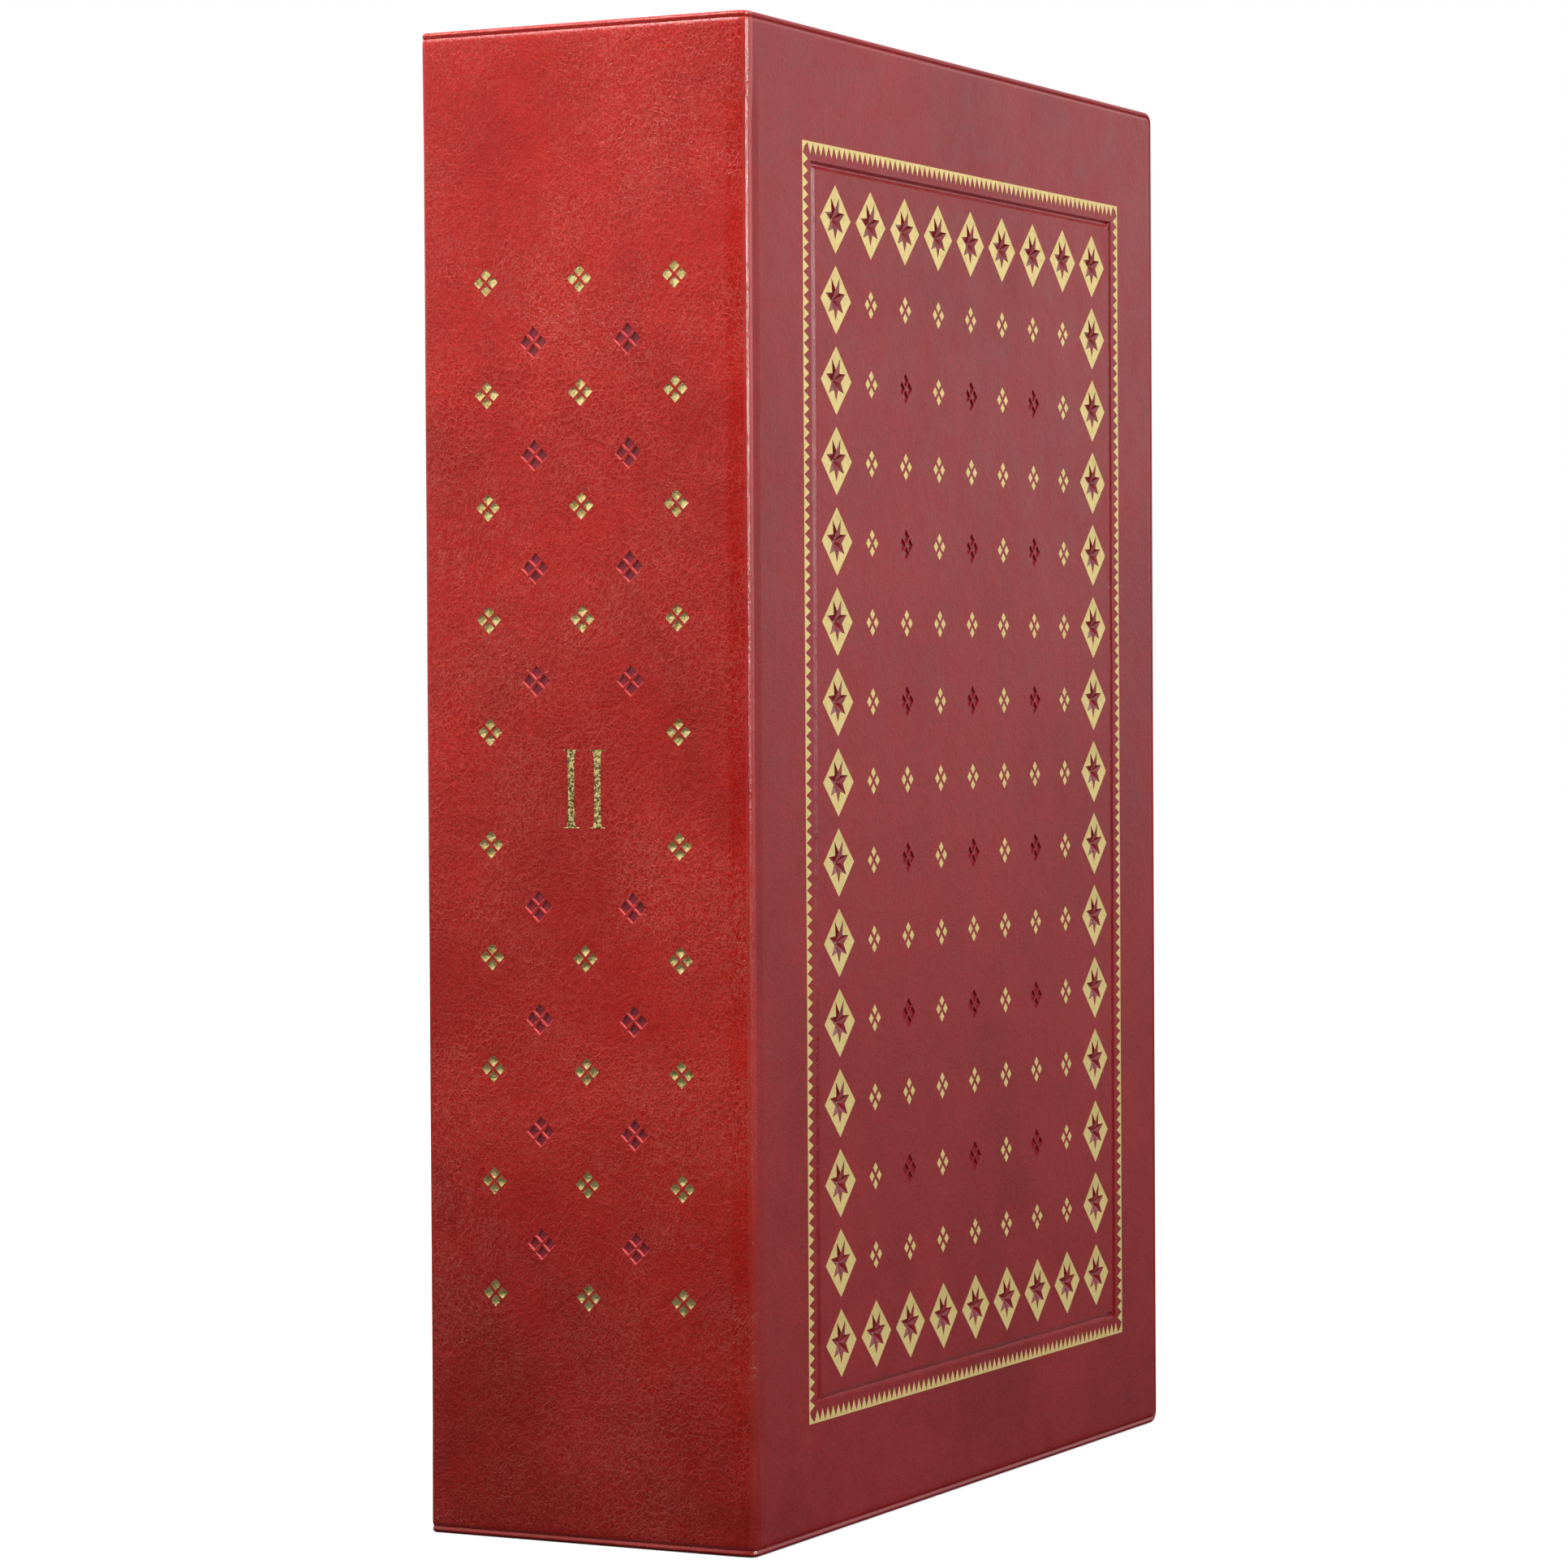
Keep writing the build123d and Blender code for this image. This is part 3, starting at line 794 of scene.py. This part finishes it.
# outer line of a joint as (place, inward normal, how far it may sink), spine side first
def jointLine(side):
    flat = coverStart - jointY + jointRadius
    spineFall = joint["spineFall"][side]
    cornerX, cornerY = halfThick - joint["coverFall"], -halfWide + spineFall
    share = 1 - joint["fold"][side] / flat
    line = []
    for i in range(7):
        t = share * i / 6
        line.append((spineEdge + (cornerX - spineEdge) * t, -halfWide + spineFall * t ** 2.2))
    last = line[-1]
    first = (halfThick - joint["coverFall"] * share ** 2.2, coverStart + (cornerY - coverStart) * share)
    slope = spineFall * 2.2 * share ** 1.2 / (cornerX - spineEdge)
    tip = (cornerX, last[1] + slope * (cornerX - last[0]))
    turn = math.radians(joint["facetTurn"])
    low = (tip[0] - joint["facet"][side] * math.cos(turn), tip[1])
    high = (tip[0], tip[1] + joint["facet"][side] * math.sin(turn))
    flatAt = [tuple(a + (b - a) * t for a, b in zip(low, high)) for t in (0.15, 0.2, 0.8, 0.85)]
    for start, bend, stop in ((last, low, flatAt[0]), (flatAt[3], high, first)):
        for i in range(1, 5):
            t = i / 4
            near, mid, far = (1 - t) ** 2, 2 * t * (1 - t), t * t
            line.append(tuple(near * a + mid * b + far * c for a, b, c in zip(start, bend, stop)))
        if start is last:
            line += flatAt[1:3] + [flatAt[3]]
    for i in range(5, -1, -1):
        t = share * i / 6
        line.append((halfThick - joint["coverFall"] * t ** 2.2, coverStart + (cornerY - coverStart) * t))
    made = []
    for i, (x, y) in enumerate(line):
        a, b = line[max(i - 1, 0)], line[min(i + 1, len(line) - 1)]
        run = Vector((b[0] - a[0], b[1] - a[1])).normalized()
        ends = min(i, len(line) - 1 - i) / 5
        inward = Vector((-run.y, run.x))
        if i == 0:
            inward = Vector((0.0, 1.0))
        if i == len(line) - 1:
            inward = Vector((-1.0, 0.0))
        made.append(((side * x, y), (side * inward.x, inward.y), smooth(ends)))
    return made


def jointHeights():
    inset = edge["face"]
    marks = [inset, 6.0, 9.0, 12.0, 15.0, 18.0, 21.0, 24.0, 27.0, 31.0]
    count = 22
    middle = [marks[-1] + (tall - 2 * marks[-1]) * i / count for i in range(1, count)]
    return marks + middle + [tall - m for m in reversed(marks)]


def outerJoint(name, side, seed):
    over = turnOver[1:] + [(0.1, joint["thick"] + 0.1)]
    line = jointLine(side)
    rings = []
    for i, ((x, y), (nx, ny), sinks) in enumerate(line):
        ring = []
        for z in jointHeights():
            fromEnd = min(z, tall - z)
            depth = joint["sunk"][side] * sinks * smooth((fromEnd - joint["sunkFrom"]) / joint["sunkOver"])
            depth += sinks * wave(z, 40 * seed + 2.0 * i, seed) * smooth((fromEnd - 4.0) / 8.0)
            depth = max(depth, 0.0)
            ring.append((x + nx * depth, y + ny * depth, z))
        for fromEdge, depth in over:
            ring.append((x + nx * depth, y + ny * depth, tall - fromEdge))
        ring.append((x + nx * joint["thick"], y + ny * joint["thick"], tall - 1.2))
        ring.append((x + nx * joint["thick"], y + ny * joint["thick"], 1.2))
        for fromEdge, depth in reversed(over):
            ring.append((x + nx * depth, y + ny * depth, fromEdge))
        rings.append(ring)
    points, faces = loftRings(rings)
    foldStart, foldEnd = 8, 6 + joint["foldSteps"] + 1
    kinds = []
    count, levels = len(rings[0]), len(jointHeights())
    lipPlaces = {levels + k - 1 for k in lips} | {count - 1 - k for k in lips}
    # the fold and the spine-side crease walls take the rubbed calf, whose lighter tone is partly a painted
    # highlight
    for face in faces:
        where, along = divmod(min(face), count)
        bright = where == foldStart - 1 or along in lipPlaces
        if foldStart <= where < foldEnd or bright and where < foldStart:
            kinds.append(2)
        else:
            kinds.append(3 if bright else int(where >= foldEnd))
    kinds[-2:] = [0, 1]
    calves = [litSpineLeather, shadedCoverLeather, foldLeather, burnishedLeather]
    strip = meshObject(name, points, faces, calves, kinds)
    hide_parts("front_joint_leather" if side > 0 else "back_joint_leather")
    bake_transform(strip)
    return strip


def innerJoint(name, side):
    plate = coverStart - jointY
    spineCorner = (-plate, wall - jointRadius)
    coverCorner = (jointRadius - wall, plate)
    tucked = joint["tucked"]
    line = [(-plate, -tucked), (-plate, (spineCorner[1] - tucked) / 2)]
    startAngle, endAngle = (math.atan2(y, x) for x, y in (spineCorner, coverCorner))
    corner = math.hypot(*spineCorner)
    for i in range(joint["innerSteps"] + 1):
        t = i / joint["innerSteps"]
        angle = startAngle + (endAngle - startAngle) * t
        radius = corner + (joint["inner"] - corner) * math.sin(math.pi * t)
        line.append((radius * math.cos(angle), radius * math.sin(angle)))
    line += [(-y, -x) for x, y in reversed(line[:2])]
    rings = []
    for x, y in line:
        radius = math.hypot(x, y)
        profile = [(radius - depth, height) for height, depth in joint["innerEnd"]]
        ring = profile + [(r, tall - height) for r, height in reversed(profile)]
        ring += [(joint["innerCore"], tall - joint["coreEnd"]), (joint["innerCore"], joint["coreEnd"])]
        rings.append([(side * (jointX + r * x / radius), jointY + r * y / radius, z) for r, z in ring])
    points, faces = loftRings(rings)
    strip = meshObject(name, points, faces, [litSpineLeather])
    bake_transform(strip)
    return strip


for side, coverBody, label, seed in ((1, "front_cover", "front", 1.3), (-1, "back_cover", "back", 2.9)):
    outerJoint(label + "_joint_strip", side, seed)
    innerJoint(label + "_joint_inside", side)
print("joints covered")


leaves = {
    "sheets": 62,
    "thick": 0.42,
    "stray": 0.35,       # how far a leaf may lie out of line
    "holeRadius": 3.0,
    "cornerRadius": 3.0,
    "rule": 0.35,
    "ruleGap": 2.2,
    "ruleTall": 0.03,
    "trim": 0.3,         # a turning leaf is cut this much smaller
    "underMount": 0.04,  # and is this much thinner, to lie clear of its mounts
}
nodeBox = {name: [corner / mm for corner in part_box(name)]
           for name in ("leaf_stack", "title_leaf", "ring_posts")}
postLow, postHigh = nodeBox["ring_posts"]
titleLow, titleHigh = nodeBox["title_leaf"]
ringWire = 2.0
ringHeights = [postLow.z + ringWire + i * (postHigh.z - postLow.z - 2 * ringWire) / 3 for i in range(4)]
holeLine = postHigh.y - ringWire


def leafOutline(y0, y1, z0, z1, radius):
    outline = [(y0, z0)]
    for cy, cz, start in ((y1 - radius, z0 + radius, -90), (y1 - radius, z1 - radius, 0)):
        for i in range(6):
            a = math.radians(start + 90 * i / 5)
            outline.append((cy + radius * math.cos(a), cz + radius * math.sin(a)))
    return outline + [(y0, z1)]


def holeOutline(y, z, radius):
    turns = [math.tau * i / 20 for i in range(20)]
    return [(y + radius * math.cos(a), z + radius * math.sin(a)) for a in turns]


# a card with its ring holes: flat faces from the outline, then its thin sides
def leafCard(x, thick, y0, y1, z0, z1, holeShift=(0.0, 0.0)):
    loops = [leafOutline(y0, y1, z0, z1, leaves["cornerRadius"])]
    dy, dz = holeShift
    loops += [holeOutline(holeLine + dy, z + dz, leaves["holeRadius"]) for z in ringHeights]
    flat, outlines = [], []
    for loop in loops:
        outlines.append(list(range(len(flat), len(flat) + len(loop))))
        flat += [Vector(p) for p in loop]
    found = delaunay_2d_cdt(flat, [], outlines, 1, 1e-5)
    faces = [f for f, owner in zip(found[2], found[5]) if owner and max(owner) == 0]
    verts = found[0]
    count = len(verts)
    points = [(x + thick, v.x, v.y) for v in verts] + [(x, v.x, v.y) for v in verts]
    made = [tuple(f) for f in faces] + [tuple(i + count for i in reversed(f)) for f in faces]
    sides = {(a, b) for f in faces for a, b in zip(f, list(f[1:]) + [f[0]])}
    made += [(b, a, a + count, b + count) for a, b in sides if (b, a) not in sides]
    return points, made


def leafStack():
    low, high = nodeBox["leaf_stack"]
    picker = random.Random(41)
    points, faces = [], []
    pitch = (high.x - low.x) / leaves["sheets"]
    thick = min(leaves["thick"], pitch * 0.8)
    stray = leaves["stray"]
    inset = stray + 0.05
    for i in range(leaves["sheets"]):
        dy, dz = picker.uniform(-stray, stray), picker.uniform(-stray, stray)
        more, moreFaces = leafCard(low.x + i * pitch, thick, low.y + inset + dy, high.y - inset + dy,
                                   low.z + inset + dz, high.z - inset + dz, (dy, dz))
        faces += [tuple(k + len(points) for k in f) for f in moreFaces]
        points += more
    stack = meshObject("leaf_block", points, faces, [leafPaper])
    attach(stack, "back_cover")
    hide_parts("leaf_stack")


def turningLeaf(node, body, order):
    low, high = (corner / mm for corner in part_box(node))
    picker = random.Random(60 + order)
    dz = picker.uniform(-0.2, 0.2)
    trim = leaves["trim"]
    points, faces = leafCard(low.x, high.x - low.x - leaves["underMount"], low.y, high.y - trim,
                             low.z + trim + dz, high.z - trim + dz)
    leaf = meshObject(node + "_card", points, faces, [leafPaper])
    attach(leaf, body)
    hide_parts(node)
    return high.x


# thin printed rules as raised ink: a frame is four bars
def ruleFrame(points, faces, x, y0, y1, z0, z1, width):
    bars = ((y0, y1, z0, z0 + width), (y0, y1, z1 - width, z1),
            (y0, y0 + width, z0 + width, z1 - width), (y1 - width, y1, z0 + width, z1 - width))
    for a, b, c, d in bars:
        first = len(points)
        for dx in (0.0, leaves["ruleTall"]):
            points += [(x + dx, a, c), (x + dx, b, c), (x + dx, b, d), (x + dx, a, d)]
        faces += [tuple(first + k for k in f) for f in
                  ((3, 2, 1, 0), (4, 5, 6, 7), (0, 1, 5, 4), (1, 2, 6, 5), (2, 3, 7, 6), (3, 0, 4, 7))]


title = {"gutter": 14.0, "margin": 12.0, "ends": 16.0, "rule": 0.7, "gap": 2.2, "fineRule": 0.3}


def titlePage(top):
    low, high = nodeBox["title_leaf"]
    points, faces = [], []
    gutter, margin, ends = title["gutter"], title["margin"], title["ends"]
    y0, y1, z0, z1 = holeLine + gutter, high.y - margin, low.z + ends, high.z - ends
    ruleFrame(points, faces, top, y0, y1, z0, z1, title["rule"])
    gap = title["gap"]
    ruleFrame(points, faces, top, y0 + gap, y1 - gap, z0 + gap, z1 - gap, title["fineRule"])
    rules = meshObject("title_rules", points, faces, [ruleInk])
    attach(rules, "title_leaf")


def mountRules(number, top):
    low, high = (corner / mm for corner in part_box(f"stamp_mounts_{number}"))
    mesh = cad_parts[f"stamp_mounts_{number}"].data
    heights = sorted({round(v.co.z / mm, 2) for v in mesh.vertices})
    points, faces = [], []
    gap = leaves["ruleGap"]
    for z0, z1 in zip(heights[::2], heights[1::2]):
        ruleFrame(points, faces, top, low.y - gap, high.y + gap, z0 - gap, z1 + gap, leaves["rule"])
    rules = meshObject(f"stamp_rules_{number}", points, faces, [ruleInk])
    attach(rules, f"stamp_leaf_{number}")


leafStack()
titlePage(turningLeaf("title_leaf", "title_leaf", 0))
for number in range(1, 5):
    top = turningLeaf(f"stamp_leaf_{number}", f"stamp_leaf_{number}", number)
    mountRules(number, top)
print("leaves laid")


finishes = {
    "front_board": boardPaper, "spine_board": boardPaper, "back_board": boardPaper,
    "front_lining": liningPaper, "spine_lining": liningPaper, "back_lining": liningPaper,
    "base_plate": plateSteel, "bar_bearings": plateSteel,
    "lever_lugs": plateSteel, "plate_screws": plateSteel,
    "ring_posts": nickel, "ring_arms": nickel, "turn_bar": nickel, "bar_cranks": nickel,
    "head_lever": nickel, "tail_lever": nickel, "lever_pins": nickel, "bar_spring": springSteel,
}
for number in range(1, 5):
    finishes[f"stamp_mounts_{number}"] = clearFilm
for node, material in finishes.items():
    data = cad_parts[node].data
    data.materials.clear()
    data.materials.append(material)
print("finishes set")


studio = {
    "floor": 0.93,
    "floorBounce": 0.05,     # how much of its light the floor gives back to the album
    "walls": 0.92,           # brightness of the room that the leather mirrors
    "darkSide": (0.26, -0.966),  # the unlit end of the room
    "dark": 0.12,
    "ceiling": 0.45,
}
# place, aim, size and power of each lamp, in metres and watts
lamps = {
    "key softbox": ((-0.24, -0.46, 0.88), (0.0, -0.1, 0.26), (0.5, 0.36), 7.9),
    "side softbox": ((0.75, -0.15, 0.95), (0.0, 0.0, 0.25), (0.5, 0.5), 2.4),
    "strip light": ((0.97, -0.30, 0.50), (0.04, -0.11, 0.26), (0.09, 0.60), 3.6),
    "rear strip": ((0.50, 1.05, 0.36), (0.04, 0.0, 0.0), (0.7, 0.08), 0.12),
}


def floorMaterial():
    s = Shader("floor paint")
    speckle = s.noise(40.0, 3.0, 0.5)
    seen = s.ramp(speckle, [(0.3, (0.92, 0.92, 0.92)), (0.7, (studio["floor"],) * 3)])
    bounced = s.node("ShaderNodeBsdfDiffuse")
    bounced.inputs["Color"].default_value = (*(studio["floorBounce"],) * 3, 1.0)
    material = s.finish(seen, 0.9, None, Specular_IOR_Level=0.0)
    s.body.inputs["Emission Color"].default_value = (1.0, 1.0, 1.0, 1.0)
    s.body.inputs["Emission Strength"].default_value = 0.5
    mix = s.node("ShaderNodeMixShader")
    s.link(s.node("ShaderNodeLightPath").outputs["Is Camera Ray"], mix.inputs[0])
    s.link(bounced.outputs[0], mix.inputs[1])
    s.link(s.body.outputs[0], mix.inputs[2])
    s.link(mix.outputs[0], s.tree.nodes["Material Output"].inputs["Surface"])
    return material


def stagePlane(name, corners, material):
    mesh = bpy.data.meshes.new(name)
    mesh.from_pydata(corners, [], [(0, 1, 2, 3)])
    mesh.materials.append(material)
    plane = bpy.data.objects.new(name, mesh)
    bpy.context.collection.objects.link(plane)


stagePlane("floor", [(-6, -6, 0), (6, -6, 0), (6, 6, 0), (-6, 6, 0)], floorMaterial())


def areaLight(name, place, target, size, power):
    data = bpy.data.lights.new(name, "AREA")
    data.shape = "RECTANGLE"
    data.size, data.size_y = size
    data.energy = power
    lamp = bpy.data.objects.new(name, data)
    bpy.context.collection.objects.link(lamp)
    lamp.location = place
    lamp.visible_camera = False
    lamp.rotation_euler = (Vector(target) - Vector(place)).to_track_quat("-Z", "Y").to_euler()


for name, (place, aim, size, power) in lamps.items():
    areaLight(name, place, aim, size, power)


# a white room: pale walls and a duller ceiling, plain white where it is seen directly
def makeRoom():
    world = bpy.data.worlds.new("studio")
    world.use_nodes = True
    tree = world.node_tree
    backdrop = tree.nodes["Background"]
    backdrop.inputs["Color"].default_value = (1.0, 1.0, 1.0, 1.0)
    room = tree.nodes.new("ShaderNodeBackground")
    place = tree.nodes.new("ShaderNodeTexCoord")
    split = tree.nodes.new("ShaderNodeSeparateXYZ")
    band = tree.nodes.new("ShaderNodeValToRGB")
    stops = ((0.0, studio["walls"]), (0.35, studio["walls"]), (0.75, studio["ceiling"]))
    while len(band.color_ramp.elements) < len(stops):
        band.color_ramp.elements.new(0.5)
    for element, (spot, level) in zip(band.color_ramp.elements, stops):
        element.position = spot
        element.color = (level, level, level, 1.0)
    facing = tree.nodes.new("ShaderNodeVectorMath")
    facing.operation = "DOT_PRODUCT"
    facing.inputs[1].default_value = (*studio["darkSide"], 0.0)
    shade = tree.nodes.new("ShaderNodeMapRange")
    shade.interpolation_type = "SMOOTHSTEP"
    for key, value in (("From Min", 0.66), ("From Max", 0.92), ("To Min", 1.0), ("To Max", studio["dark"])):
        shade.inputs[key].default_value = value
    mix = tree.nodes.new("ShaderNodeMixShader")
    tree.links.new(place.outputs["Generated"], split.inputs[0])
    tree.links.new(place.outputs["Generated"], facing.inputs[0])
    tree.links.new(facing.outputs["Value"], shade.inputs["Value"])
    tree.links.new(shade.outputs["Result"], room.inputs["Strength"])
    tree.links.new(split.outputs["Z"], band.inputs["Fac"])
    tree.links.new(band.outputs["Color"], room.inputs["Color"])
    tree.links.new(tree.nodes.new("ShaderNodeLightPath").outputs["Is Camera Ray"], mix.inputs[0])
    tree.links.new(room.outputs[0], mix.inputs[1])
    tree.links.new(backdrop.outputs[0], mix.inputs[2])
    tree.links.new(mix.outputs[0], tree.nodes["World Output"].inputs["Surface"])
    bpy.context.scene.world = world


makeRoom()

view = {
    "azimuth": 26.94,
    "elevation": 1.06,
    "roll": -0.33,
    "distance": 1181.0,
    "across": 7.3,
    "up": 1.8,
    "lens": 114.8,
}


def makeCamera():
    az, el, roll = (math.radians(view[key]) for key in ("azimuth", "elevation", "roll"))
    back = Vector((math.sin(az) * math.cos(el), -math.cos(az) * math.cos(el), math.sin(el)))
    right = Vector((0, 0, 1)).cross(back).normalized()
    up = back.cross(right)
    turned = math.cos(roll) * right + math.sin(roll) * up
    upright = -math.sin(roll) * right + math.cos(roll) * up
    spot = Vector((0, 0, tall / 2)) + view["distance"] * back - view["across"] * turned - view["up"] * upright
    data = bpy.data.cameras.new("camera")
    data.lens = view["lens"]
    data.sensor_width = 36.0
    data.clip_end = 50.0
    camera = bpy.data.objects.new("camera", data)
    bpy.context.collection.objects.link(camera)
    camera.matrix_world = Matrix((turned, upright, back)).transposed().to_4x4()
    camera.location = spot * mm
    bpy.context.scene.camera = camera


makeCamera()
bpy.context.scene.view_settings.view_transform = "Standard"
print("studio ready")
